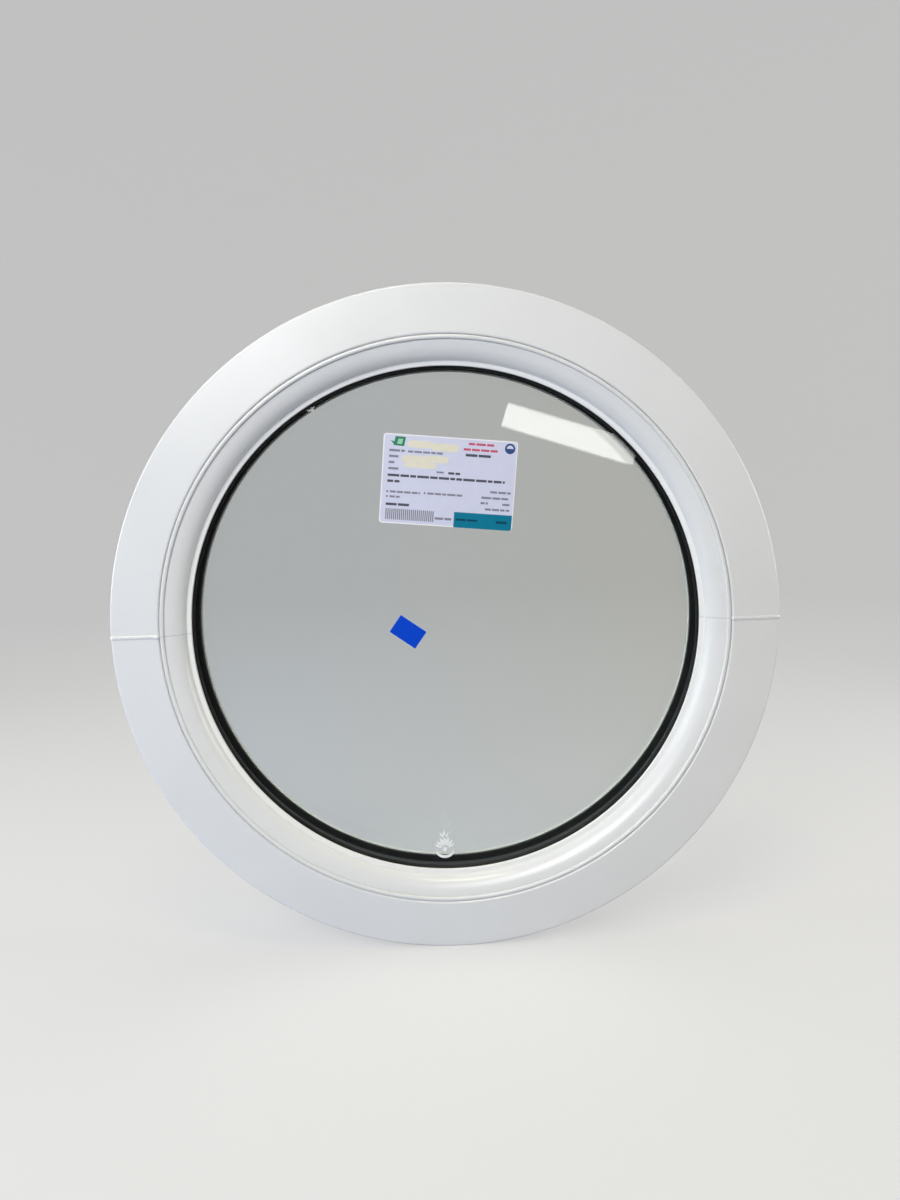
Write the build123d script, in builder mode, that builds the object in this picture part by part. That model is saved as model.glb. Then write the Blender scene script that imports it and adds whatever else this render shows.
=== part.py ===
from build123d import *
import os
from math import cos, degrees, radians, sin, sqrt

# A round fixed window, 500 mm across, in white extruded plastic with a sealed double-glazed unit.
# It stands as it is built into a wall: Z is up, the room lies towards -Y, the weather towards +Y,
# and the origin is the centre of the circle at the middle of the frame's depth.
# Every ring is drawn as a section, by radius and by setback from the room face, and turned about Y.

# Overall sizes
overall_diameter = 500.0
frame_depth = 70.0

# The frame extrusion, whose outer edge fixes all that lies further in
rebate_inset = 35.0
nib_reach = 0.8
wall = 2.8
web = 1.4
nib_thickness = 3.2
chamber_web_setback = 38.0

# The ridge of melted plastic that is left across each weld
weld_ridge_width = 3.0
weld_ridge_height = 0.35
weld_end_inset = 0.3

# The glazing bead, which snaps in behind the nib
bead_clearance = 0.3
bead_joint_gap = 0.3
ridge_width = 3.2
ridge_setback = 0.3
quirk_step = 1.4
ovolo_sweep = 45.0
lip_width = 3.5
lip_setback = 13.0
lip_fall = 0.4
lip_thickness = 2.4

# The glass unit: two panes, a foam spacer and the sealant behind it, 420 mm across in this window
pane_thickness = 4.0
cavity_width = 20.0
glass_setback = 18.5
glass_edge_gap = 5.0
room_edge_cover = 16.5
weather_edge_cover = 16.5
spacer_height = 7.0
sealant_height = 4.5

# Gaskets
bead_gasket_reach = 1.8
bead_gasket_slope = 0.8
bead_gasket_width = 5.0
frame_gasket_thickness = 3.0
frame_gasket_width = 6.0
frame_gasket_setback = 1.0
nose_thickness = 2.6

# Drainage at the bottom of the frame
drain_length = 25.0
drain_width = 5.0
drain_margin = 1.0
face_drain_angle = 14.0

# Packing blocks between the edge of the glass and the rebate
block_length = 50.0
block_clearance = 0.1
setting_block_angle = 32.0
location_block_angle = 42.0

# Stuck on the room side of the glass
label_width = 101.0
label_height = 67.0
label_thickness = 0.2
label_centre = (4.7, 107.9)
label_turn = -5.6
patch_width = 24.0
patch_height = 16.0
patch_thickness = 0.3
patch_centre = (-29.7, -4.8)
patch_turn = -35.7

# Radii that follow
outer_radius = overall_diameter / 2
rebate_radius = outer_radius - rebate_inset
nib_edge_radius = rebate_radius - nib_reach
glass_radius = rebate_radius - glass_edge_gap
bead_edge_radius = nib_edge_radius - bead_clearance
bead_base_radius = rebate_radius - bead_clearance
quirk_radius = bead_edge_radius - ridge_width
room_sight_radius = glass_radius - room_edge_cover
bead_lip_radius = room_sight_radius + lip_width
nose_edge_radius = glass_radius - weather_edge_cover
spacer_radius = glass_radius - sealant_height

# Setbacks that follow, from the room face
bead_back = lip_setback + lip_fall + lip_thickness
cavity_front = glass_setback + pane_thickness
cavity_back = cavity_front + cavity_width
glass_back = cavity_back + pane_thickness
upstand_front = glass_back + frame_gasket_thickness


def at(radius, setback):
    # a point of a section
    return (radius, setback - frame_depth / 2)


# The frame extrusion: a nib, a rebate for the glass, an upstand and hollow chambers
chamber_floor_radius = rebate_radius + wall
chamber_top_radius = outer_radius - wall

with BuildSketch() as frame_section:
    Polygon(
        at(nib_edge_radius, 0),
        at(outer_radius, 0),
        at(outer_radius, frame_depth),
        at(nib_edge_radius, frame_depth),
        at(nose_edge_radius, upstand_front + nose_thickness),
        at(nose_edge_radius, upstand_front),
        at(rebate_radius, upstand_front),
        at(rebate_radius, nib_thickness),
        at(nib_edge_radius, nib_thickness),
        align=None,
    )
    for front, back in (
        (wall, chamber_web_setback),
        (chamber_web_setback + web, frame_depth - wall),
    ):
        with Locations(at(chamber_floor_radius, front)):
            Rectangle(
                chamber_top_radius - chamber_floor_radius,
                back - front,
                align=(Align.MIN, Align.MIN),
                mode=Mode.SUBTRACT,
            )

# The frame is bent in two halves and welded, so each side carries a ridge across both flat faces
face_drain_radius = chamber_top_radius - drain_margin - drain_width / 2
floor_drain_setback = upstand_front - drain_margin - drain_width / 2
with BuildPart() as frame:
    add(frame_section.sketch)
    revolve(axis=Axis.Y)

    for side in (1, -1):
        with BuildSketch(Plane.YZ.offset(side * (outer_radius - weld_end_inset))):
            for face in (-frame_depth / 2, frame_depth / 2):
                outwards = 1 if face > 0 else -1
                with BuildLine():
                    crown = ThreePointArc(
                        (face, -weld_ridge_width / 2),
                        (face + outwards * weld_ridge_height, 0),
                        (face, weld_ridge_width / 2),
                    )
                    Polyline(
                        crown @ 1,
                        (face - outwards * wall / 2, weld_ridge_width / 2),
                        (face - outwards * wall / 2, -weld_ridge_width / 2),
                        crown @ 0,
                    )
                make_face()
        extrude(amount=-side * (rebate_inset + nib_reach - 2 * weld_end_inset))

    # drain slots: out of the rebate into a chamber, and lower down out of the weather face
    with BuildSketch(Plane.XY.offset(-rebate_radius - wall / 2)):
        with Locations((0, floor_drain_setback - frame_depth / 2)):
            Rectangle(drain_length, drain_width)
    extrude(amount=wall, both=True, mode=Mode.SUBTRACT)
    for side in (1, -1):
        with BuildSketch(
            Plane.XZ.rotated((0, side * face_drain_angle, 0)).offset(-frame_depth / 2)
        ):
            with Locations((0, -face_drain_radius)):
                Rectangle(drain_length, drain_width)
        extrude(amount=wall + web, mode=Mode.SUBTRACT)
frame.part.label = "frame"

# The bead: a flat ridge, a quirk, an ovolo moulding and a lip along the glass
ovolo_setback = ridge_setback + quirk_step
ovolo_chord = sqrt((quirk_radius - bead_lip_radius) ** 2 + (lip_setback - ovolo_setback) ** 2)
with BuildSketch() as bead_section:
    with BuildLine():
        ovolo = RadiusArc(
            at(bead_lip_radius, lip_setback),
            at(quirk_radius, ovolo_setback),
            ovolo_chord / 2 / sin(radians(ovolo_sweep / 2)),
        )
        Polyline(
            ovolo @ 1,
            at(quirk_radius, ridge_setback),
            at(bead_edge_radius, ridge_setback),
            at(bead_edge_radius, nib_thickness),
            at(bead_base_radius, bead_back),
            at(room_sight_radius, bead_back),
            at(room_sight_radius, lip_setback + lip_fall),
            ovolo @ 0,
        )
    make_face()

bead_gap_angle = degrees(bead_joint_gap / room_sight_radius)
with BuildPart() as bead_upper_half:
    add(bead_section.sketch.rotate(Axis.Y, -bead_gap_angle / 2))
    revolve(axis=Axis.Y, revolution_arc=bead_gap_angle - 180)
bead_upper_half.part.label = "bead_upper_half"

with BuildPart() as bead_lower_half:
    mirror(bead_upper_half.part, about=Plane.XY)
bead_lower_half.part.label = "bead_lower_half"

# The black gasket behind the bead, whose edge slopes out onto the glass
with BuildPart() as bead_gasket:
    with BuildSketch():
        Polygon(
            at(room_sight_radius + bead_gasket_width, bead_back),
            at(room_sight_radius - bead_gasket_slope, bead_back),
            at(room_sight_radius - bead_gasket_reach, glass_setback),
            at(room_sight_radius + bead_gasket_width, glass_setback),
            align=None,
        )
    revolve(axis=Axis.Y)
bead_gasket.part.label = "bead_gasket"


def band(label, low_radius, high_radius, front, back):
    # a ring of rectangular section, or a disc where the low radius is none
    with BuildPart() as ring:
        with BuildSketch(Plane.XZ.offset(frame_depth / 2 - front)):
            Circle(high_radius)
            if low_radius > 0:
                Circle(low_radius, mode=Mode.SUBTRACT)
        extrude(amount=front - back)
    ring.part.label = label
    return ring.part


# The weather gasket bears on the upstand, and the glass unit lies between it and the bead gasket
gasket_radius = nose_edge_radius + frame_gasket_setback
rings = [
    band("frame_gasket", gasket_radius, gasket_radius + frame_gasket_width, glass_back, upstand_front),
    band("room_pane", 0, glass_radius, glass_setback, cavity_front),
    band("weather_pane", 0, glass_radius, cavity_back, glass_back),
    band("spacer", spacer_radius - spacer_height, spacer_radius, cavity_front, cavity_back),
    band("edge_sealant", spacer_radius, glass_radius, cavity_front, cavity_back),
]

# A packing block is flat: its middle bears on the glass and its ends on the rebate
block_top = glass_radius + block_clearance
block_base = sqrt((rebate_radius - block_clearance) ** 2 - (block_length / 2) ** 2)


def packing_block(label, angle):
    # one block, at an angle from the bottom of the circle towards +X
    with BuildPart() as block:
        with BuildSketch(Plane.XY.rotated((0, -angle, 0)).offset(-block_base)):
            with Locations((0, (glass_setback + glass_back - frame_depth) / 2)):
                Rectangle(block_length, glass_back - glass_setback)
        extrude(amount=block_base - block_top)
    block.part.label = label
    return block.part


blocks = [
    packing_block("setting_block_left", -setting_block_angle),
    packing_block("setting_block_right", setting_block_angle),
    packing_block("location_block_left", location_block_angle - 180),
    packing_block("location_block_right", 180 - location_block_angle),
]


def sheet_plane(centre, turn):
    # the room side of the glass, at the centre of what is stuck there
    x, z = centre
    return Plane(
        origin=(x, glass_setback - frame_depth / 2, z),
        x_dir=(cos(radians(turn)), 0, sin(radians(turn))),
        z_dir=(0, -1, 0),
    )


with BuildPart() as glass_label:
    with BuildSketch(sheet_plane(label_centre, label_turn)):
        Rectangle(label_width, label_height)
    extrude(amount=label_thickness)
glass_label.part.label = "glass_label"

with BuildPart() as colour_patch:
    with BuildSketch(sheet_plane(patch_centre, patch_turn)):
        Rectangle(patch_width, patch_height)
    extrude(amount=patch_thickness)
colour_patch.part.label = "colour_patch"

pieces = [
    frame.part,
    bead_upper_half.part,
    bead_lower_half.part,
    bead_gasket.part,
    *rings,
    *blocks,
    glass_label.part,
    colour_patch.part,
]
os.makedirs("parts", exist_ok=True)
for piece in pieces:
    export_step(piece, f"parts/{piece.label}.step")
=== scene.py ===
import random
from math import atan2, ceil, cos, hypot, pi, radians, sin, sqrt, tan

import bmesh
import bpy
from mathutils import Matrix, Quaternion, Vector


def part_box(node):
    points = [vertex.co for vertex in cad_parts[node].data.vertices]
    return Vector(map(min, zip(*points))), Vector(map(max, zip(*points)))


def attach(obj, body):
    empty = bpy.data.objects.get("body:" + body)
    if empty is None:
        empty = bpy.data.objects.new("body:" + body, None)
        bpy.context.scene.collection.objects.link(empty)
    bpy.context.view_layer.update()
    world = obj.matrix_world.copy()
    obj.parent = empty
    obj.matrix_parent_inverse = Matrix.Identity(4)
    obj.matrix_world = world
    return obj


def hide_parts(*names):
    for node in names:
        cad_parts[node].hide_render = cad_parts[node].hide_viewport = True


# A round fixed window in white plastic, seen from the room.
# Everything is in metres, and the room is towards -Y.

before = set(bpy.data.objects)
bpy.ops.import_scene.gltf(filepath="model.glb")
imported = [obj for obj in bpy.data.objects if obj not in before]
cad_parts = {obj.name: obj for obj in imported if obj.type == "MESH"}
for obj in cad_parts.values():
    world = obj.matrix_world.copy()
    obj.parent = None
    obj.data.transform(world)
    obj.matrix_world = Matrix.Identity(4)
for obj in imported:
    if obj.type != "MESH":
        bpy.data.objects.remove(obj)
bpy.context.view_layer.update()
mm = 0.001
print("frame loaded:", len(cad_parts), "nodes")


def measure(node):
    # inner and outer radius of a ring and its front and back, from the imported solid
    radii = [hypot(v.co.x, v.co.z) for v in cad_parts[node].data.vertices]
    low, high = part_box(node)
    return min(radii), max(radii), low.y, high.y


# small helpers for the node materials

def newMaterial(name):
    material = bpy.data.materials.new(name)
    material.use_nodes = True
    nodes = material.node_tree.nodes
    return material, nodes, material.node_tree.links, nodes["Principled BSDF"]


def addNode(nodes, kind, **settings):
    node = nodes.new(kind)
    for key, value in settings.items():
        if key in node.inputs:
            node.inputs[key].default_value = value
        else:
            setattr(node, key, value)
    return node


def noise(nodes, links, vector, scale, detail):
    texture = addNode(nodes, "ShaderNodeTexNoise", Scale=scale, Detail=detail)
    links.new(vector, texture.inputs["Vector"])
    return texture.outputs["Fac"]


def rangeOf(nodes, links, value, low, high, fromLow=0.3, fromHigh=0.7):
    mapped = nodes.new("ShaderNodeMapRange")
    mapped.inputs["From Min"].default_value = fromLow
    mapped.inputs["From Max"].default_value = fromHigh
    mapped.inputs["To Min"].default_value = low
    mapped.inputs["To Max"].default_value = high
    links.new(value, mapped.inputs["Value"])
    return mapped.outputs["Result"]


def maths(nodes, links, operation, first, second):
    node = addNode(nodes, "ShaderNodeMath", operation=operation)
    for socket, value in zip(node.inputs, (first, second)):
        if isinstance(value, (int, float)):
            socket.default_value = value
        else:
            links.new(value, socket)
    return node.outputs[0]


def mixColours(nodes, links, factor, first, second):
    mix = addNode(nodes, "ShaderNodeMix", data_type="RGBA")
    for socket, colour in ((mix.inputs[6], first), (mix.inputs[7], second)):
        if isinstance(colour, tuple):
            socket.default_value = (*colour, 1)
        else:
            links.new(colour, socket)
    links.new(factor, mix.inputs[0])
    return mix.outputs[2]


def mixShaders(nodes, links, factor, first, second):
    mix = nodes.new("ShaderNodeMixShader")
    links.new(factor, mix.inputs[0])
    links.new(first, mix.inputs[1])
    links.new(second, mix.inputs[2])
    return mix.outputs[0]


def bump(nodes, links, height, distance, normal=None):
    made = addNode(nodes, "ShaderNodeBump", Distance=distance)
    links.new(height, made.inputs["Height"])
    if normal:
        links.new(normal, made.inputs["Normal"])
    return made.outputs["Normal"]


def alongSection(nodes, links, turn):
    # radius, depth and a slow turn round the ring, so that marks run along the extrusion
    place = nodes.new("ShaderNodeTexCoord").outputs["Object"]
    split = nodes.new("ShaderNodeSeparateXYZ")
    links.new(place, split.inputs[0])
    flat = nodes.new("ShaderNodeCombineXYZ")
    links.new(split.outputs["X"], flat.inputs["X"])
    links.new(split.outputs["Z"], flat.inputs["Y"])
    radius = addNode(nodes, "ShaderNodeVectorMath", operation="LENGTH")
    links.new(flat.outputs[0], radius.inputs[0])
    angle = maths(nodes, links, "ARCTAN2", split.outputs["Z"], split.outputs["X"])
    out = nodes.new("ShaderNodeCombineXYZ")
    links.new(radius.outputs["Value"], out.inputs["X"])
    links.new(split.outputs["Y"], out.inputs["Y"])
    links.new(maths(nodes, links, "MULTIPLY", angle, turn), out.inputs["Z"])
    return place, out.outputs[0]


windowPlastic = dict(
    light=(0.785, 0.793, 0.795), dull=(0.755, 0.763, 0.765), roughLow=0.19, roughHigh=0.25,
    ior=1.53, gloss=0.5, cloudScale=14, smearScale=24, lineScale=120, lineTurn=0.002, dieLines=0.000012,
    peelScale=320, orangePeel=0.000015,
)
# the lip's copy of the plastic is paler: painted light that brightens the lip in its shaded recess; its
# rougher finish is its own
paintedLightLip = dict(
    windowPlastic, light=(0.89, 0.895, 0.89), dull=(0.87, 0.875, 0.87), roughLow=0.32, roughHigh=0.38,
)


def makeWindowPlastic(name, v):
    material, nodes, links, shader = newMaterial(name)
    place, section = alongSection(nodes, links, v["lineTurn"])
    cloud = rangeOf(nodes, links, noise(nodes, links, place, v["cloudScale"], 4), 0, 1)
    links.new(mixColours(nodes, links, cloud, v["light"], v["dull"]), shader.inputs["Base Color"])
    smear = noise(nodes, links, place, v["smearScale"], 2)
    links.new(rangeOf(nodes, links, smear, v["roughLow"], v["roughHigh"]), shader.inputs["Roughness"])
    lines = bump(nodes, links, noise(nodes, links, section, v["lineScale"], 2), v["dieLines"])
    peel = bump(nodes, links, noise(nodes, links, place, v["peelScale"], 2), v["orangePeel"], lines)
    links.new(peel, shader.inputs["Normal"])
    shader.inputs["IOR"].default_value = v["ior"]
    shader.inputs["Specular IOR Level"].default_value = v["gloss"]
    return material


gasketRubber = dict(
    dark=(0.006, 0.0065, 0.007), worn=(0.014, 0.0135, 0.013), roughLow=0.34, roughHigh=0.52, gloss=0.22,
    bloomScale=60, streakScale=700, streakTurn=0.004, grainScale=2500, grain=0.00002,
)


def makeGasketRubber():
    v = gasketRubber
    material, nodes, links, shader = newMaterial("blackGasketRubber")
    place, section = alongSection(nodes, links, v["streakTurn"])
    bloom = rangeOf(nodes, links, noise(nodes, links, place, v["bloomScale"], 4), 0, 1, 0.45, 0.75)
    links.new(mixColours(nodes, links, bloom, v["dark"], v["worn"]), shader.inputs["Base Color"])
    streak = noise(nodes, links, section, v["streakScale"], 2)
    links.new(rangeOf(nodes, links, streak, v["roughLow"], v["roughHigh"]), shader.inputs["Roughness"])
    grain = noise(nodes, links, place, v["grainScale"], 2)
    links.new(bump(nodes, links, grain, v["grain"]), shader.inputs["Normal"])
    shader.inputs["Specular IOR Level"].default_value = v["gloss"]
    return material


spacerFoam = dict(
    dark=(0.010, 0.012, 0.015), light=(0.022, 0.026, 0.032), rough=0.75, cellScale=1800.0, cellDepth=0.00008,
)


def makeSpacerFoam():
    v = spacerFoam
    material, nodes, links, shader = newMaterial("blackSpacerFoam")
    place = nodes.new("ShaderNodeTexCoord").outputs["Object"]
    texture = addNode(nodes, "ShaderNodeTexVoronoi", Scale=v["cellScale"])
    links.new(place, texture.inputs["Vector"])
    cells = texture.outputs["Distance"]
    shade = rangeOf(nodes, links, cells, 0, 1, 0, 0.6)
    links.new(mixColours(nodes, links, shade, v["dark"], v["light"]), shader.inputs["Base Color"])
    links.new(bump(nodes, links, cells, v["cellDepth"]), shader.inputs["Normal"])
    shader.inputs["Roughness"].default_value = v["rough"]
    return material


paneGlass = dict(
    tint=(0.955, 0.968, 0.958), shadowTint=(0.93, 0.95, 0.94), ior=1.52, roughScale=9, roughHigh=0.003,
)


def makePaneGlass():
    # shadow rays pass, so that light falls through the window as through the real one
    v = paneGlass
    material, nodes, links, shader = newMaterial("clearPaneGlass")
    shader.inputs["Base Color"].default_value = (*v["tint"], 1)
    shader.inputs["Transmission Weight"].default_value = 1
    shader.inputs["IOR"].default_value = v["ior"]
    place = nodes.new("ShaderNodeTexCoord").outputs["Object"]
    haze = noise(nodes, links, place, v["roughScale"], 3)
    links.new(rangeOf(nodes, links, haze, 0.0, v["roughHigh"]), shader.inputs["Roughness"])
    through = addNode(nodes, "ShaderNodeBsdfTransparent", Color=(*v["shadowTint"], 1))
    shadowRay = nodes.new("ShaderNodeLightPath").outputs["Is Shadow Ray"]
    surface = mixShaders(nodes, links, shadowRay, shader.outputs[0], through.outputs[0])
    links.new(surface, nodes["Material Output"].inputs["Surface"])
    return material


printValues = dict(mottleScale=220, grainScale=700, grain=0.00001)


def makePrint(name, colour, rough=0.45, change=0.08, gloss=0.5):
    # one printed or moulded colour, a little uneven
    v = printValues
    material, nodes, links, shader = newMaterial(name)
    shader.inputs["Specular IOR Level"].default_value = gloss
    place = nodes.new("ShaderNodeTexCoord").outputs["Object"]
    second = tuple(c * (1 - change) for c in colour)
    mottle = noise(nodes, links, place, v["mottleScale"], 3)
    links.new(mixColours(nodes, links, mottle, colour, second), shader.inputs["Base Color"])
    grain = noise(nodes, links, place, v["grainScale"], 2)
    links.new(bump(nodes, links, grain, v["grain"]), shader.inputs["Normal"])
    shader.inputs["Roughness"].default_value = rough
    return material


plastic = makeWindowPlastic("whiteWindowPlastic", windowPlastic)
paintedLightLipPlastic = makeWindowPlastic("paleLipPaintedLight", paintedLightLip)
rubber = makeGasketRubber()
foam = makeSpacerFoam()
glass = makePaneGlass()
sealant = makePrint("blackEdgeSealant", (0.015, 0.015, 0.015), 0.5, 0.3)
packer = makePrint("bluePackerPlastic", (0.05, 0.16, 0.42), 0.4)
print("materials made")

# how finely the rings are turned, and where shading breaks at an edge
ringSteps = 384
halfSteps = 192
glassSteps = 288
sharpAngle = radians(35)
facetAngle = radians(18)


def roundedSection(corners, hold=0.12 * mm):
    # each corner is (radius, depth, size of its rounding)
    # a point is held close beside each rounding, so that the flats stay flat
    path = []
    for i, (radius, depth, size) in enumerate(corners):
        here = Vector((radius, depth))
        if size == 0:
            path.append(here)
            continue
        back = (Vector(corners[i - 1][:2]) - here).normalized()
        on = (Vector(corners[(i + 1) % len(corners)][:2]) - here).normalized()
        half = back.angle(on) / 2
        reach = size / tan(half)
        centre = here + (back + on).normalized() * size / sin(half)
        first = here + back * reach
        last = here + on * reach
        start = atan2(*(first - centre).yx)
        sweep = (atan2(*(last - centre).yx) - start + pi) % (2 * pi) - pi
        steps = max(2, ceil(abs(sweep) / facetAngle))
        path.append(first + back * hold)
        for k in range(steps + 1):
            angle = start + sweep * k / steps
            path.append(centre + Vector((cos(angle), sin(angle))) * size)
        path.append(last + on * hold)
    return path


def newPiece(name, bm, material):
    bmesh.ops.recalc_face_normals(bm, faces=bm.faces)
    mesh = bpy.data.meshes.new(name)
    bm.to_mesh(mesh)
    bm.free()
    mesh.shade_smooth()
    mesh.set_sharp_from_angle(angle=sharpAngle)
    piece = bpy.data.objects.new(name, mesh)
    bpy.context.scene.collection.objects.link(piece)
    mesh.materials.append(material)
    return piece


def addRing(bm, path, steps, start=0.0, sweep=2 * pi):
    # turns a closed section about the window's axis
    whole = abs(sweep - 2 * pi) < 1e-6
    turns = [start + sweep * k / steps for k in range(steps if whole else steps + 1)]
    rings = [[bm.verts.new((p.x * cos(t), p.y, p.x * sin(t))) for p in path] for t in turns]
    for k in range(steps):
        here, there = rings[k], rings[(k + 1) % len(rings)]
        for j in range(len(path)):
            n = (j + 1) % len(path)
            bm.faces.new((here[j], here[n], there[n], there[j]))
    if not whole:
        bm.faces.new(rings[0])
        bm.faces.new(rings[-1])


def makeRing(name, path, material, steps, start=0.0, sweep=2 * pi):
    bm = bmesh.new()
    addRing(bm, path, steps, start, sweep)
    return newPiece(name, bm, material)


def addPrism(bm, near, far):
    # joins two outlines of as many points
    faces = [bm.faces.new(near), bm.faces.new(far)]
    for i in range(len(near)):
        j = (i + 1) % len(near)
        faces.append(bm.faces.new((near[i], near[j], far[j], far[i])))
    return faces


def fitPiece(piece, slotName, *nodes):
    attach(piece, "root")
    if nodes:
        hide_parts(*nodes)
    return piece


# the frame, whose solid also gives the radii that the other pieces keep to
frameValues = dict(
    weldHeight=0.35 * mm, faceWidth=35.8 * mm, nibThickness=3.2 * mm, noseThickness=2.6 * mm,
    rebateClearance=0.3 * mm, edgeRound=1.3 * mm, nibRound=1.5 * mm, nibBackRound=0.2 * mm,
    innerRound=0.5 * mm,
)
drainValues = dict(
    length=25 * mm, width=5 * mm, angle=14, margin=1 * mm, wall=2.8 * mm, endSteps=12,
    faceLead=1 * mm, faceDepth=11.8 * mm, floorLead=1.5 * mm, floorDepth=10.8 * mm,
)

noseRadius, outerRadius, weldFront, weldBack = measure("frame")
beadInner, beadBase, beadFront, beadBack = measure("bead_upper_half")
gasketInner, gasketOuter, gasketFront, upstandFront = measure("frame_gasket")
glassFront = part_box("room_pane")[0].y
roomFace = weldFront + frameValues["weldHeight"]
weatherFace = weldBack - frameValues["weldHeight"]
nibRadius = outerRadius - frameValues["faceWidth"]
rebateRadius = beadBase + frameValues["rebateClearance"]


def makeFrame():
    v = frameValues
    corners = [
        (nibRadius, roomFace, v["nibRound"]),
        (outerRadius, roomFace, v["edgeRound"]),
        (outerRadius, weatherFace, v["edgeRound"]),
        (nibRadius, weatherFace, v["edgeRound"]),
        (noseRadius, upstandFront + v["noseThickness"], v["innerRound"]),
        (noseRadius, upstandFront, v["innerRound"]),
        (rebateRadius, upstandFront, v["innerRound"]),
        (rebateRadius, roomFace + v["nibThickness"], v["nibBackRound"]),
        (nibRadius, roomFace + v["nibThickness"], v["nibBackRound"]),
    ]
    path = roundedSection(corners)
    ring = makeRing("frameRing", path, plastic, ringSteps)
    cutDrains(ring)
    return path, ring


def drainOutline():
    v = drainValues
    half = (v["length"] - v["width"]) / 2
    outline = []
    for side, middle in ((1, 0), (-1, pi)):
        for k in range(v["endSteps"] + 1):
            angle = middle - pi / 2 + pi * k / v["endSteps"]
            outline.append((side * half + cos(angle) * v["width"] / 2, sin(angle) * v["width"] / 2))
    return outline


def cutDrains(ring):
    # shallow round-ended slots low down in the weather face, and one in the floor of the rebate
    v = drainValues
    outline = drainOutline()
    bm = bmesh.new()
    radius = outerRadius - v["wall"] - v["margin"] - v["width"] / 2
    start = weatherFace + v["faceLead"]
    for side in (-1, 1):
        turn = Matrix.Rotation(radians(side * v["angle"]), 3, "Y")
        slot = [turn @ Vector((x, start, z - radius)) for x, z in outline]
        addSlot(bm, slot, Vector((0, -v["faceDepth"], 0)))
    depth = upstandFront - v["margin"] - v["width"] / 2
    slot = [Vector((x, depth + y, v["floorLead"] - rebateRadius)) for x, y in outline]
    addSlot(bm, slot, Vector((0, 0, -v["floorDepth"])))
    cutter = newPiece("drainCutter", bm, plastic)
    modifier = ring.modifiers.new("drains", "BOOLEAN")
    modifier.object = cutter
    modifier.solver = "EXACT"
    cut = ring.evaluated_get(bpy.context.evaluated_depsgraph_get())
    made = bpy.data.meshes.new_from_object(cut)
    ring.modifiers.clear()
    ring.data = made
    made.set_sharp_from_angle(angle=sharpAngle)
    bpy.data.objects.remove(cutter)


def addSlot(bm, outline, depth):
    near = [bm.verts.new(p) for p in outline]
    far = [bm.verts.new(p + depth) for p in outline]
    addPrism(bm, near, far)


framePath, frameRing = makeFrame()
fitPiece(frameRing, "white_plastic", "frame")
print("frame made")

weldValues = dict(
    along=0.5 * mm, rows=20, height=0.85 * mm, width=2.8 * mm, sink=0.05 * mm, rootSink=0.2 * mm, crown=0.6,
    bulb=1.5, bulbPlace=2.2 * mm, bulbReach=2.4 * mm, outerThin=0.4, endFade=0.8 * mm,
    swellAcross=0.3, fadeAcross=0.45, edgeReach=1.5, nibMargin=0.1 * mm,
    wander=0.10 * mm, quickPart=0.6, wanderWaves=(900, 2300), ripple=(0.10, 0.06), rippleWaves=(3100, 7300),
)


def makeWelds(path):
    # the ridge of melted plastic across each flat face, fuller near the nib and thinner at the outer edge
    v = weldValues
    bm = bmesh.new()
    middle = nibRadius + frameValues["faceWidth"] / 2
    reach = frameValues["edgeRound"] * v["edgeReach"]
    for face in (roomFace, weatherFace):
        near = [p for p in path if abs(p.y - face) < reach]
        line = [p for p in near if p.x > nibRadius - v["nibMargin"]]
        line.sort(key=lambda p: p.x + abs(p.y - face) * (1 if p.x > middle else -1))
        close = []
        for a, b in zip(line, line[1:]):
            steps = max(1, ceil((b - a).length / v["along"]))
            close += [a.lerp(b, k / steps) for k in range(steps)]
        close.append(line[-1])
        for side in (1, -1):
            addWeld(bm, close, side, -1 if face < 0 else 1)
    return newPiece("weldRidges", bm, plastic)


def weldShape(x, fromNib, toOuter, side, outwards):
    # how full the ridge is, how it fades at its ends and how it wanders, at one place along it
    v = weldValues
    swell = 1 + (v["bulb"] - 1) * max(0, 1 - abs(fromNib - v["bulbPlace"]) / v["bulbReach"])
    swell *= 1 - v["outerThin"] * max(0, 1 - toOuter / v["bulbReach"])
    fade = sqrt(min(1, min(fromNib, toOuter) / v["endFade"]))
    slow, quick = v["wanderWaves"]
    drift = v["wander"] * (sin(x * slow + side * 2) + v["quickPart"] * sin(x * quick + outwards))
    ripple = 1 + v["ripple"][0] * sin(x * v["rippleWaves"][0] + side)
    ripple += v["ripple"][1] * sin(x * v["rippleWaves"][1])
    return swell, fade, drift, ripple


def addWeld(bm, line, side, outwards):
    v = weldValues
    lengths = [0.0]
    for a, b in zip(line, line[1:]):
        lengths.append(lengths[-1] + (b - a).length)
    grid = []
    for i, p in enumerate(line):
        run = (line[min(i + 1, len(line) - 1)] - line[max(i - 1, 0)]).normalized()
        normal = Vector((-run.y, run.x)) * outwards  # away from the plastic, as the line runs outwards
        swell, fade, drift, ripple = weldShape(p.x, lengths[i], lengths[-1] - lengths[i], side, outwards)
        wide = 1 - v["swellAcross"] + v["swellAcross"] * swell
        narrow = 1 - v["fadeAcross"] + v["fadeAcross"] * fade
        row = []
        for k in range(v["rows"] + 1):
            turn = pi * k / v["rows"]
            across = cos(turn) * v["width"] / 2 * wide * narrow
            lift = -v["rootSink"]
            if 0 < k < v["rows"]:
                lift = v["height"] * sin(turn) ** v["crown"] * swell * ripple * fade - v["sink"]
            spot = p + normal * lift
            z = across + drift * fade
            row.append(bm.verts.new((side * sqrt(max(spot.x ** 2 - z ** 2, 0)), spot.y, z)))
        grid.append(row)
    for here, there in zip(grid, grid[1:]):
        for k in range(v["rows"]):
            bm.faces.new((here[k], here[k + 1], there[k + 1], there[k]))
        bm.faces.new((here[0], there[0], there[-1], here[-1]))
    bm.faces.new(grid[0])
    bm.faces.new(grid[-1])


fitPiece(makeWelds(framePath), "white_plastic")
print("welds made")

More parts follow.
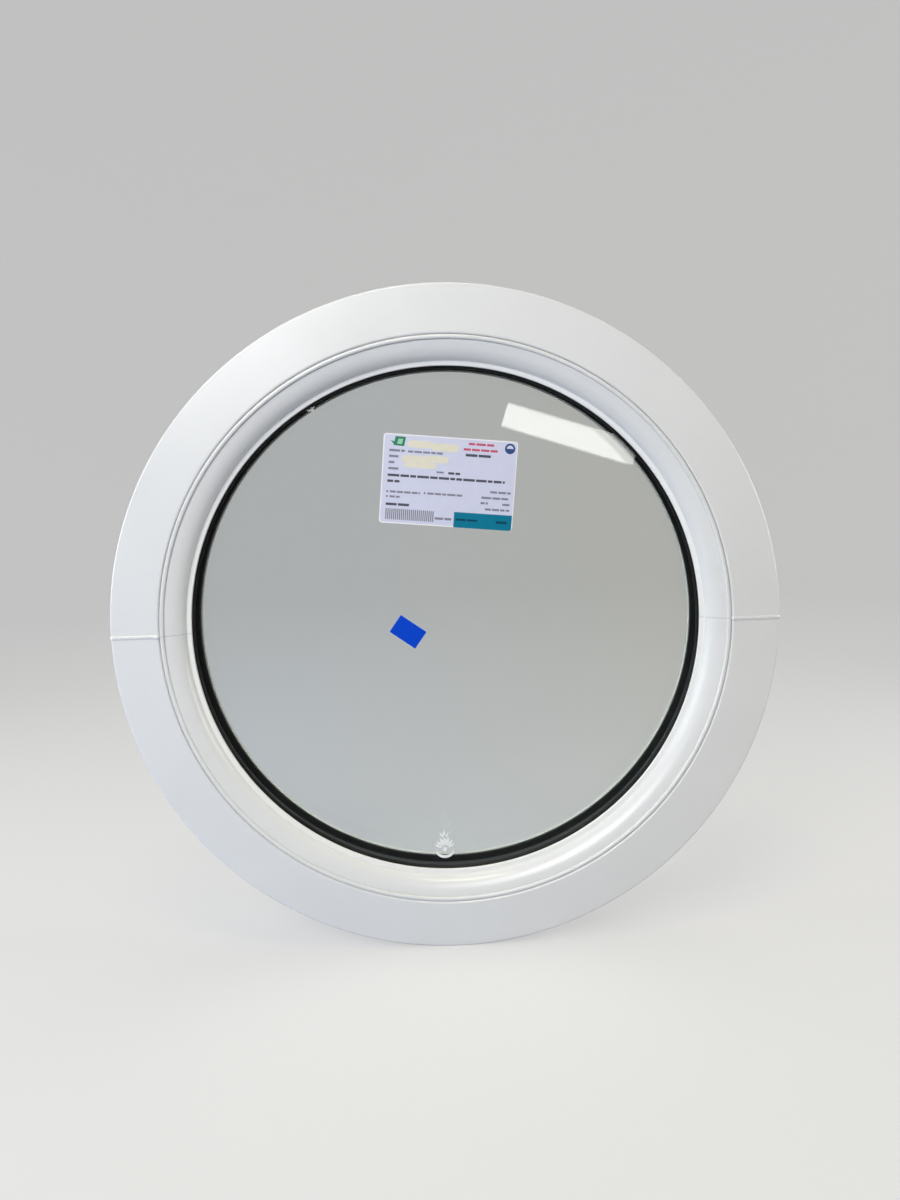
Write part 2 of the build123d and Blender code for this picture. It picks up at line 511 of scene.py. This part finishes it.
# the glazing bead: a flat ridge, a quirk with a fine groove at its foot, an ovolo and a lip
beadValues = dict(
    ridgeWidth=3.2 * mm, ridgeRound=1.4 * mm, quirkStep=2.1 * mm, grooveWidth=0.4 * mm,
    grooveDepth=0.25 * mm, edgeClearance=0.2 * mm, lipWidth=3.5 * mm, lipMargin=0.02 * mm,
    lipSetback=13.0 * mm, lipFall=0.4 * mm, lipRound=0.6 * mm, backRound=0.3 * mm, hold=0.08 * mm,
    jointGap=0.2 * mm, ovoloSteps=18, ovoloStart=15, ovoloEnd=86,
)


def makeBeadSection():
    v = beadValues
    edge = nibRadius - v["edgeClearance"]
    quirk = edge - v["ridgeWidth"]
    lipOuter = beadInner + v["lipWidth"]
    lip = roomFace + v["lipSetback"]
    top = beadFront + v["quirkStep"]
    corners = [
        (lipOuter, lip, 0),
        (beadInner, lip + v["lipFall"], v["lipRound"]),
        (beadInner, beadBack, v["backRound"]),
        (beadBase, beadBack, v["backRound"]),
        (edge, roomFace + frameValues["nibThickness"], 0),
        (edge, beadFront, v["ridgeRound"]),
        (quirk, beadFront, v["ridgeRound"]),
        (quirk, top + v["grooveDepth"], 0),
        (quirk - v["grooveWidth"] / 2, top + v["grooveDepth"], 0),
    ]
    path = roundedSection(corners, v["hold"])
    quirk -= v["grooveWidth"]
    path.append(Vector((quirk, top)))
    # the ovolo is part of an ellipse, full towards the room
    first, last = radians(v["ovoloStart"]), radians(v["ovoloEnd"])
    for k in range(1, v["ovoloSteps"]):
        angle = first + (last - first) * k / v["ovoloSteps"]
        across = (sin(angle) - sin(first)) / (sin(last) - sin(first))
        down = (cos(first) - cos(angle)) / (cos(first) - cos(last))
        path.append(Vector((quirk - (quirk - lipOuter) * across, top + (lip - top) * down)))
    return path


def makeBeads():
    path = makeBeadSection()
    gap = beadValues["jointGap"] / beadInner
    lipEdge = beadInner + beadValues["lipWidth"] - beadValues["lipMargin"]
    for name, node, start in (("beadUpper", "bead_upper_half", 0), ("beadLower", "bead_lower_half", pi)):
        bead = makeRing(name, path, plastic, halfSteps, start + gap / 2, pi - gap)
        bead.data.materials.append(paintedLightLipPlastic)
        for face in bead.data.polygons:  # the lip takes a paler, rougher copy of the plastic: its paleness is painted light against the shade of its recess
            if hypot(face.center.x, face.center.z) < lipEdge and len(face.vertices) == 4:
                face.material_index = 1
        fitPiece(bead, "white_plastic", node)


makeBeads()
print("beads made")

# gaskets, spacer and panes
beadGasketValues = dict(
    ribs=2, ribHeight=0.28 * mm, ribSteps=6, ribLean=(0.9, 0.35), slopeTop=1.0 * mm, jointGap=0.12 * mm,
)


def makeBeadGasket():
    # a ribbed slope from the bead's lip down onto the glass
    v = beadGasketValues
    inner, outer, front, back = measure("bead_gasket")
    top = inner + v["slopeTop"]
    path = [Vector((outer, front)), Vector((top, front))]
    count = v["ribs"] * v["ribSteps"]
    for k in range(1, count):
        along = k / count
        bulge = v["ribHeight"] * abs(sin(pi * along * v["ribs"]))
        radius = top + (inner - top) * along - bulge * v["ribLean"][0]
        path.append(Vector((radius, front + (back - front) * along - bulge * v["ribLean"][1])))
    path += [Vector((inner, back)), Vector((outer, back))]
    gap = v["jointGap"] / inner
    bm = bmesh.new()
    for start in (0, pi):
        addRing(bm, path, halfSteps, start + gap / 2, pi - gap)
    return newPiece("beadGasket", bm, rubber)


frameGasketValues = dict(glassRound=0.5 * mm, outerRound=0.3 * mm, innerRound=0.8 * mm)


def makeFrameGasket():
    v = frameGasketValues
    corners = [
        (gasketInner, gasketFront, v["glassRound"]),
        (gasketOuter, gasketFront, v["glassRound"]),
        (gasketOuter, upstandFront, v["outerRound"]),
        (gasketInner, upstandFront, v["innerRound"]),
    ]
    return makeRing("frameGasket", roundedSection(corners), rubber, glassSteps)


spacerValues = dict(cornerRound=0.4 * mm)


def makeSpacer():
    size = spacerValues["cornerRound"]
    inner, outer, front, back = measure("spacer")
    corners = [(inner, front, size), (outer, front, size), (outer, back, size), (inner, back, size)]
    return makeRing("foamSpacer", roundedSection(corners), foam, glassSteps)


paneValues = dict(arris=0.5 * mm)


def makePane(name, node):
    arris = paneValues["arris"]
    edge, front, back = measure(node)[1:]
    profile = [(edge - arris, front), (edge, front + arris), (edge, back - arris), (edge - arris, back)]
    turns = [2 * pi * k / glassSteps for k in range(glassSteps)]
    bm = bmesh.new()
    rings = [[bm.verts.new((r * cos(t), y, r * sin(t))) for t in turns] for r, y in profile]
    for here, there in zip(rings, rings[1:]):
        for k in range(glassSteps):
            j = (k + 1) % glassSteps
            bm.faces.new((here[k], here[j], there[j], there[k]))
    bm.faces.new(rings[0])
    bm.faces.new(rings[-1])
    return newPiece(name, bm, glass)


fitPiece(makeBeadGasket(), "black_gasket", "bead_gasket")
fitPiece(makeFrameGasket(), "black_gasket", "frame_gasket")
fitPiece(makeSpacer(), "spacer_foam", "spacer")
fitPiece(makePane("roomGlass", "room_pane"), "clear_glass", "room_pane")
fitPiece(makePane("weatherGlass", "weather_pane"), "clear_glass", "weather_pane")

# the sealant and the packers keep their solids
keptNodes = dict(
    edge_sealant=sealant, setting_block_left=packer, setting_block_right=packer,
    location_block_left=packer, location_block_right=packer,
)
for node, material in keptNodes.items():
    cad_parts[node].data.materials.clear()
    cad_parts[node].data.materials.append(material)
print("glass and gaskets made")

cornerSteps = 5  # of the rounded corners of what is stuck on the room pane


class Sheet:
    # flat shapes laid on a thin sheet that is stuck to the glass
    # x runs right and y down from its top left corner
    def __init__(self, name, values, materials):
        self.name = name
        self.values = values
        self.materials = materials
        self.bm = bmesh.new()
        self.turn = Matrix.Rotation(-radians(values["turn"]), 3, "Y")

    def point(self, x, y, height):
        v = self.values
        flat = self.turn @ Vector((x - v["width"] / 2, 0, v["height"] / 2 - y))
        return Vector((flat.x + v["centre"][0], glassFront - height, flat.z + v["centre"][1]))

    def shape(self, outline, material, low, high):
        # a flat shape with the sides down to what it lies on
        near = [self.bm.verts.new(self.point(x, y, high)) for x, y in outline]
        far = [self.bm.verts.new(self.point(x, y, low)) for x, y in outline]
        for face in addPrism(self.bm, near, far):
            face.material_index = material

    def finish(self):
        bmesh.ops.recalc_face_normals(self.bm, faces=self.bm.faces)
        mesh = bpy.data.meshes.new(self.name)
        self.bm.to_mesh(mesh)
        self.bm.free()
        for material in self.materials:
            mesh.materials.append(material)
        piece = bpy.data.objects.new(self.name, mesh)
        bpy.context.scene.collection.objects.link(piece)
        return piece


def roundedBox(left, top, right, bottom, corner):
    outline = []
    for x, y, start in (
        (right - corner, top + corner, -90), (right - corner, bottom - corner, 0),
        (left + corner, bottom - corner, 90), (left + corner, top + corner, 180),
    ):
        outline += arc(x, y, corner, start, start + 90, cornerSteps)
    return outline


def arc(x, y, radius, first, last, steps):
    # points from the first angle to the last, in degrees
    angles = [radians(first + (last - first) * k / steps) for k in range(steps + 1)]
    return [(x + cos(a) * radius, y + sin(a) * radius) for a in angles]


# the label: sizes in metres, and what is printed on it in millimetres from its top left corner
labelValues = dict(
    width=101 * mm, height=67 * mm, corner=2.3 * mm, centre=(4.7 * mm, 107.9 * mm), turn=-5.6,
    thickness=0.18 * mm, ink=0.015 * mm, margin=0.9 * mm, rough=0.38, gloss=0.2,
    colours=dict(
        edge=(0.90, 0.89, 0.94), paper=(0.66, 0.68, 0.84), grey=(0.24, 0.24, 0.32),
        black=(0.09, 0.09, 0.13), stripe=(0.22, 0.22, 0.25), red=(0.58, 0.10, 0.18),
        teal=(0.0, 0.19, 0.31), deepTeal=(0.0, 0.065, 0.12), green=(0.03, 0.24, 0.13),
        paleGreen=(0.32, 0.62, 0.44), blue=(0.035, 0.08, 0.24), cream=(0.78, 0.75, 0.62),
    ),
    # daubs of pale paint: left, top, right, bottom
    smearSteps=44, smearRag=(-0.09, 0.05), smearLayer=2, smearStep=0.15,
    smears=(
        (17.8, 4.0, 38.0, 9.6), (36.0, 5.0, 57.0, 11.0), (14.5, 15.2, 33.0, 21.0),
        (31.0, 14.6, 50.0, 19.8), (16.0, 19.8, 40.5, 24.6),
    ),
    # lines of print: left, middle, right, height and colour
    wordLength=(3.0, 8.0), wordHeight=1.6, wordGap=0.5, leastWord=0.8,
    lines=(
        (4.8, 12.4, 16.4, 1.7, "grey"), (18.8, 12.6, 45.0, 1.5, "grey"), (4.8, 16.8, 12.2, 1.7, "grey"),
        (4.8, 21.3, 10.2, 1.7, "grey"), (4.8, 25.9, 13.4, 1.7, "grey"), (41.2, 26.6, 46.6, 1.3, "grey"),
        (50.0, 26.8, 59.0, 1.7, "black"), (4.6, 30.9, 93.0, 1.8, "black"), (4.6, 35.3, 13.8, 1.8, "black"),
        (4.4, 52.6, 22.0, 1.9, "black"), (82.5, 38.8, 98.0, 1.6, "grey"), (76.2, 43.3, 98.0, 1.6, "grey"),
        (75.8, 47.4, 81.4, 1.6, "grey"), (92.4, 47.6, 97.8, 1.6, "grey"), (79.5, 51.9, 98.0, 1.6, "grey"),
        (64.0, 4.0, 83.0, 1.7, "red"), (60.4, 8.2, 86.8, 1.7, "red"), (62.2, 12.4, 82.4, 1.9, "black"),
        (42.0, 61.2, 54.6, 1.7, "grey"),
    ),
    bulletSize=1.2, bulletGap=2.6, bulletPrint=1.5,
    bullets=((4.4, 43.2, 29.8), (32.6, 42.9, 61.6), (4.4, 46.9, 14.6)),
    stripes=dict(left=4.6, middle=60.0, high=8.2, width=0.85, step=1.48, count=25),
    tealField=(56.4, 55.4),
    tealLines=((58.0, 61.0, 74.6, 1.6, 23), (88.4, 61.2, 98.4, 2.0, 24)),
    # plain fields in the two top corners: colour, layer and outline
    cornerFields=(
        ("green", 2, ((7.6, 8.6), (8.9, 1.9), (16.7, 2.1), (15.6, 9.0))),
        ("green", 2, ((5.4, 5.0), (8.3, 5.9), (7.9, 8.0))),
        ("paleGreen", 3, ((10.2, 7.4), (11.1, 3.6), (14.7, 3.6), (14.0, 7.6))),
    ),
    disc=dict(x=95.2, y=5.6, outer=3.9, inner=2.5),
)


class Label:
    # the label's print: plain fields of colour on its paper, in millimetres
    def __init__(self):
        v = labelValues
        self.top = v["thickness"]
        self.ink = v["ink"]
        self.colours = {name: i for i, name in enumerate(v["colours"])}
        inks = []
        for name, colour in v["colours"].items():
            title = "label" + name[0].upper() + name[1:]
            inks.append(makePrint(title, colour, v["rough"], gloss=v["gloss"]))
        self.sheet = Sheet("glassLabel", v, inks)

    def patch(self, outline, colour, layer=1):
        # a flat field of print; a higher layer lies on a lower one
        low = self.top + (layer - 1) * self.ink * 0.5
        scaled = [(x * mm, y * mm) for x, y in outline]
        self.sheet.shape(scaled, self.colours[colour], low, self.top + layer * self.ink)

    def bar(self, left, middle, right, high, colour):
        top, bottom = middle - high / 2, middle + high / 2
        self.patch([(left, top), (right, top), (right, bottom), (left, bottom)], colour, 3)

    def line(self, left, middle, right, high, colour, seed):
        # a line of print becomes a row of plain bars, one for each word
        v = labelValues
        chance = random.Random(seed)
        at = left
        while at < right - v["leastWord"]:
            reach = min(at + chance.uniform(*v["wordLength"]) * high / v["wordHeight"], right)
            self.bar(at, middle, reach, high, colour)
            at = reach + high * v["wordGap"]

    def smear(self, left, top, right, bottom, seed):
        # a daub of pale paint with a ragged outline
        v = labelValues
        chance = random.Random(seed)
        outline = []
        for k in range(v["smearSteps"]):
            angle = 2 * pi * k / v["smearSteps"]
            square = (abs(cos(angle)) ** 4 + abs(sin(angle)) ** 4) ** -0.25
            reach = square * (1 + chance.uniform(*v["smearRag"]))
            x = (left + right) / 2 + cos(angle) * (right - left) / 2 * reach
            outline.append((x, (top + bottom) / 2 + sin(angle) * (bottom - top) / 2 * reach))
        self.patch(outline, "cream", v["smearLayer"] + seed * v["smearStep"])


def makeLabel():
    v = labelValues
    label = Label()
    width, height, margin, corner = (v[key] / mm for key in ("width", "height", "margin", "corner"))
    outline = roundedBox(0, 0, v["width"], v["height"], v["corner"])
    label.sheet.shape(outline, label.colours["edge"], 0, v["thickness"])
    paper = roundedBox(margin, margin, width - margin * 0.7, height - margin, corner - margin * 0.6)
    label.patch(paper, "paper")
    for i, smear in enumerate(v["smears"]):
        label.smear(*smear, i + 1)
    for left, middle, right, high, colour in v["lines"]:
        label.line(left, middle, right, high, colour, int(left * 7 + middle * 3))
    for left, middle, right in v["bullets"]:
        label.bar(left, middle, left + v["bulletSize"], v["bulletSize"], "black")
        label.line(left + v["bulletGap"], middle, right, v["bulletPrint"], "grey", int(left + middle))
    s = v["stripes"]
    for k in range(s["count"]):
        left = s["left"] + k * s["step"]
        label.bar(left, s["middle"], left + s["width"], s["high"], "stripe")
    addTealField(label, width, height, margin, corner)
    addCornerFields(label)
    return label.sheet.finish()


def addTealField(label, width, height, margin, corner):
    left, top = labelValues["tealField"]
    right = width - margin * 0.7
    rounding = arc(width - margin * 0.4 - corner, height - corner, corner, 15, 90, 5)
    label.patch([(left, top), (right, top), (right, height - corner), *rounding, (left, height)], "teal", 2)
    for left, middle, right, high, seed in labelValues["tealLines"]:
        label.line(left, middle, right, high, "deepTeal", seed)


def addCornerFields(label):
    for colour, layer, outline in labelValues["cornerFields"]:
        label.patch(outline, colour, layer)
    d = labelValues["disc"]
    for radius, colour, layer in ((d["outer"], "blue", 2), (d["inner"], "paper", 3)):
        label.patch(arc(d["x"], d["y"], radius, 0, 350, 35), colour, layer)
    label.patch(arc(d["x"], d["y"], d["inner"], 0, 180, 16), "blue", 4)


fitPiece(makeLabel(), "label_paper", "glass_label")

# the pale blue edge colour and its rim, wider at the top and left than at the right and bottom, are a
# painted highlight along the patch's edges
patchValues = dict(
    width=24 * mm, height=16 * mm, corner=0.4 * mm, centre=(-29.7 * mm, -4.8 * mm), turn=-35.7,
    thickness=0.3 * mm, highlightRim=0.35 * mm, face=(0.0, 0.06, 0.62), edge=(0.30, 0.42, 0.72),
)


def makePatch():
    v = patchValues
    face = makePrint("bluePatchFace", v["face"], 0.35, 0.05, 0.15)
    sheet = Sheet("bluePatch", v, [face, makePrint("bluePatchPaintedHighlight", v["edge"], 0.5)])
    width, height, highlightRim, backing = v["width"], v["height"], v["highlightRim"], v["thickness"] * 0.8
    # the backing sheet shows round the face as a pale rim: a painted highlight, wider at the top and left
    sheet.shape(roundedBox(0, 0, width, height, v["corner"]), 1, 0, backing)
    inner = roundedBox(highlightRim, highlightRim, width - highlightRim / 2, height - highlightRim / 2, v["corner"])
    sheet.shape(inner, 0, backing, v["thickness"])
    return sheet.finish()


fitPiece(makePatch(), "blue_patch", "colour_patch")

etchValues = dict(
    width=17 * mm, height=25 * mm, centre=(-6.8 * mm, -175.4 * mm), turn=1.75, thickness=0.04 * mm,
    frost=(0.97, 0.98, 0.98), dullPart=0.8, frostScale=500, rough=0.8,
    # in millimetres: the spray's leaves, its tips, the dot and the curved bar under it
    leaves=7, leafLength=8.0, leafWidth=2.3, leafSteps=6, spread=66, hub=2.6, root=15.5,
    longPart=1.05, shorten=0.35, tip=dict(up=8.6, length=6.4, width=2.2),
    sideTips=dict(aside=0.9, up=9.0, turn=0.55, length=4.6, width=1.5), dot=dict(down=0.6, radius=1.7),
    barLower=(1.2, 7.6, 6.6), barUpper=(-0.4, 6.9, 5.9),
)


def makeFrost():
    v = etchValues
    material, nodes, links, shader = newMaterial("frostedEtch")
    place = nodes.new("ShaderNodeTexCoord").outputs["Object"]
    dull = tuple(c * v["dullPart"] for c in v["frost"])
    frost = mixColours(nodes, links, noise(nodes, links, place, v["frostScale"], 2), v["frost"], dull)
    links.new(frost, shader.inputs["Base Color"])
    shader.inputs["Roughness"].default_value = v["rough"]
    return material


def leafOutline(x, y, turn, length, width):
    # a pointed leaf from its stalk end
    outline = []
    count = etchValues["leafSteps"]
    for side, steps in ((1, range(count + 1)), (-1, range(count, 0, -1))):
        for k in steps:
            along = length * k / count
            across = side * width / 2 * sin(pi * (k / count) ** 0.8) if 0 < k < count else 0
            right, up = along * sin(turn) + across * cos(turn), along * cos(turn) - across * sin(turn)
            outline.append((x + right, y - up))
    return outline


def makeEtchedMark():
    # a plain frosted mark of no maker: a spray of leaves over a curved bar
    v = etchValues
    sheet = Sheet("etchedMark", v, [makeFrost()])
    middle, root = v["width"] / 2 / mm, v["root"]
    outlines = []
    for k in range(v["leaves"]):
        turn = radians(-v["spread"] + 2 * v["spread"] * k / (v["leaves"] - 1))
        length = v["leafLength"] * (v["longPart"] - v["shorten"] * abs(sin(turn)))
        x, y = middle + sin(turn) * v["hub"], root - cos(turn) * v["hub"]
        outlines.append(leafOutline(x, y, turn, length, v["leafWidth"]))
    tip, sides, dot = v["tip"], v["sideTips"], v["dot"]
    outlines.append(leafOutline(middle, root - tip["up"], 0, tip["length"], tip["width"]))
    for side in (-1, 1):
        x, y = middle + side * sides["aside"], root - sides["up"]
        outlines.append(leafOutline(x, y, side * sides["turn"], sides["length"], sides["width"]))
    outlines.append(arc(middle, root + dot["down"], dot["radius"], 0, 342, 19))
    bar = []
    for edge, turns in ((v["barLower"], range(20, 161, 10)), (v["barUpper"], range(160, 19, -10))):
        down, width, height = edge
        bar += [(middle + cos(radians(a)) * width, root + down + sin(radians(a)) * height) for a in turns]
    outlines.append(bar)
    for outline in outlines:
        sheet.shape([(x * mm, y * mm) for x, y in outline], 0, 0, v["thickness"])
    return sheet.finish()


fitPiece(makeEtchedMark(), None)
print("label, patch and etched mark made")

stageValues = dict(
    radius=2.6, cove=1.2, height=3.2, steps=96, colour=(0.72, 0.72, 0.72), rough=0.9,
    cool=(0.40, 0.49, 0.69), warm=(0.54, 0.46, 0.32), tintFrom=-0.3, tintTo=0.7,
    seen=(0.80, 0.80, 0.79), seenPart=0.6, mirroredPart=0.4,
    mirroredFront=(0.07, 0.072, 0.075), frontFrom=-0.1, frontTo=0.05,
    world=(0.84, 0.87, 0.92), worldStrength=0.145,
)


def makeStageMaterial():
    v = stageValues
    material, nodes, links, shader = newMaterial("paleStage")
    shader.inputs["Roughness"].default_value = v["rough"]
    rays = nodes.new("ShaderNodeLightPath").outputs
    place = nodes.new("ShaderNodeSeparateXYZ")
    links.new(nodes.new("ShaderNodeTexCoord").outputs["Object"], place.inputs[0])
    # it throws cool light from the left and warm light from the right, and looks plain grey
    side = rangeOf(nodes, links, place.outputs["X"], 0, 1, v["tintFrom"], v["tintTo"])
    tint = mixColours(nodes, links, side, v["cool"], v["warm"])
    colour = mixColours(nodes, links, rays["Is Camera Ray"], tint, v["colour"])
    links.new(colour, shader.inputs["Base Color"])
    # the camera, mirrors and glass see a paler stage than the one that the lamps light
    seen = rays["Is Camera Ray"]
    for ray, share in (("Is Glossy Ray", v["mirroredPart"]), ("Is Transmission Ray", 1.0)):
        seen = maths(nodes, links, "MAXIMUM", seen, maths(nodes, links, "MULTIPLY", rays[ray], share))
    part = maths(nodes, links, "MULTIPLY", seen, v["seenPart"])
    glow = addNode(nodes, "ShaderNodeEmission", Color=(*v["seen"], 1), Strength=1.0)
    lit = mixShaders(nodes, links, part, shader.outputs[0], glow.outputs[0])
    # the half of it in front of the window mirrors as a dim room
    inFront = rangeOf(nodes, links, place.outputs["Y"], 1, 0, v["frontFrom"], v["frontTo"])
    front = maths(nodes, links, "MULTIPLY", inFront, rays["Is Glossy Ray"])
    dim = addNode(nodes, "ShaderNodeEmission", Color=(*v["mirroredFront"], 1), Strength=1.0)
    surface = mixShaders(nodes, links, front, lit, dim.outputs[0])
    links.new(surface, nodes["Material Output"].inputs["Surface"])
    return material


def makeStage():
    # a round floor that curves up into its own backdrop all the way round
    v = stageValues
    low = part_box("frame")[0].z
    profile = [(v["radius"] * 0.4, low)]
    for turn in range(0, 91, 6):
        across, up = sin(radians(turn)), 1 - cos(radians(turn))
        profile.append((v["radius"] + across * v["cove"], low + up * v["cove"]))
    profile.append((v["radius"] + v["cove"], low + v["height"]))
    bm = bmesh.new()
    middle = bm.verts.new((0, 0, low))
    turns = [2 * pi * k / v["steps"] for k in range(v["steps"])]
    rings = [[bm.verts.new((r * cos(t), r * sin(t), z)) for t in turns] for r, z in profile]
    for k in range(v["steps"]):
        j = (k + 1) % v["steps"]
        bm.faces.new((middle, rings[0][k], rings[0][j]))
        for here, there in zip(rings, rings[1:]):
            bm.faces.new((here[k], here[j], there[j], there[k]))
    newPiece("paleStage", bm, makeStageMaterial())


# places and sizes in metres, turns and beam widths in degrees
lamps = dict(
    softKey=dict(place=(-0.5, -1.0, 0.6), size=(0.7, 0.7), energy=6.8, colour=(1.0, 0.998, 0.99)),
    frontHigh=dict(place=(-0.6, -2.2, 1.3), size=(1.4, 0.9), energy=17.0, colour=(1.0, 0.99, 0.985)),
    coolLeft=dict(
        place=(-1.6, -0.45, 0.25), size=(0.9, 0.7), energy=2.1, colour=(0.66, 0.82, 1.0), spread=120,
    ),
    warmTop=dict(place=(-0.1, -0.75, 1.56), size=(0.6, 0.4), energy=6.6, colour=(1.0, 0.90, 0.62)),
    rimLeft=dict(place=(-1.4, 0.1, 0.3), size=(0.6, 0.7), energy=3, colour=(1.0, 0.98, 0.95), spread=120),
    rimRight=dict(place=(1.4, 0.1, 0.3), size=(0.6, 0.7), energy=4.5, colour=(1.0, 0.98, 0.95), spread=120),
    backTop=dict(place=(0.2, 1.3, 1.8), size=(1.5, 1.0), energy=8, colour=(1.0, 0.99, 0.97)),
    stripLight=dict(
        place=(0.396, -2.0, 0.276), size=(0.40, 0.07), energy=0.3, colour=(1.0, 1.0, 0.97), roll=-19,
    ),
)


def makeLight(name, place, size, energy, colour, roll=0, spread=180):
    # a soft lamp that faces the window
    light = bpy.data.lights.new(name, "AREA")
    light.shape = "RECTANGLE"
    light.size, light.size_y = size
    light.energy = energy
    light.spread = radians(spread)
    light.color = colour
    lamp = bpy.data.objects.new(name, light)
    lamp.location = place
    lamp.rotation_mode = "QUATERNION"
    towards = (-Vector(place)).to_track_quat("-Z", "Y")
    lamp.rotation_quaternion = towards @ Quaternion((0, 0, 1), radians(roll))
    bpy.context.scene.collection.objects.link(lamp)


def makeWorld():
    v = stageValues
    world = bpy.data.worlds.new("studioAir")
    world.use_nodes = True
    background = world.node_tree.nodes["Background"]
    background.inputs["Color"].default_value = (*v["world"], 1)
    background.inputs["Strength"].default_value = v["worldStrength"]
    bpy.context.scene.world = world


makeStage()
makeWorld()
for name, lamp in lamps.items():
    makeLight(name, **lamp)
print("stage and light made")

cameraValues = dict(
    distance=672.7 * mm, above=6.35, aside=0.94, roll=1.75,
    focalPixels=901, tallPixels=1200, centrePixels=(-3.19, 27.63), sensor=36.0, clipStart=0.01,
)


def makeCamera():
    # the window's centre lies a little off the picture's middle
    # the picture is rolled against the welds
    v = cameraValues
    above, aside = radians(v["above"]), radians(v["aside"])
    right = Vector((cos(aside), -sin(aside), 0))
    up = Vector((sin(aside) * sin(above), cos(aside) * sin(above), cos(above)))
    forward = up.cross(right)
    scale = v["distance"] / v["focalPixels"]
    x, y = v["centrePixels"]
    place = up * y * scale - right * x * scale - forward * v["distance"]
    roll = Matrix.Rotation(radians(v["roll"]), 3, "Y")
    data = bpy.data.cameras.new("photoCamera")
    data.sensor_width = v["sensor"]
    data.lens = v["focalPixels"] / v["tallPixels"] * v["sensor"]
    data.clip_start = v["clipStart"]
    camera = bpy.data.objects.new("photoCamera", data)
    axes = Matrix((roll @ right, roll @ up, roll @ -forward)).transposed()
    camera.matrix_world = Matrix.Translation(roll @ place + Vector((0, roomFace, 0))) @ axes.to_4x4()
    bpy.context.scene.collection.objects.link(camera)
    bpy.context.scene.camera = camera


makeCamera()
bpy.context.scene.view_settings.view_transform = "Standard"
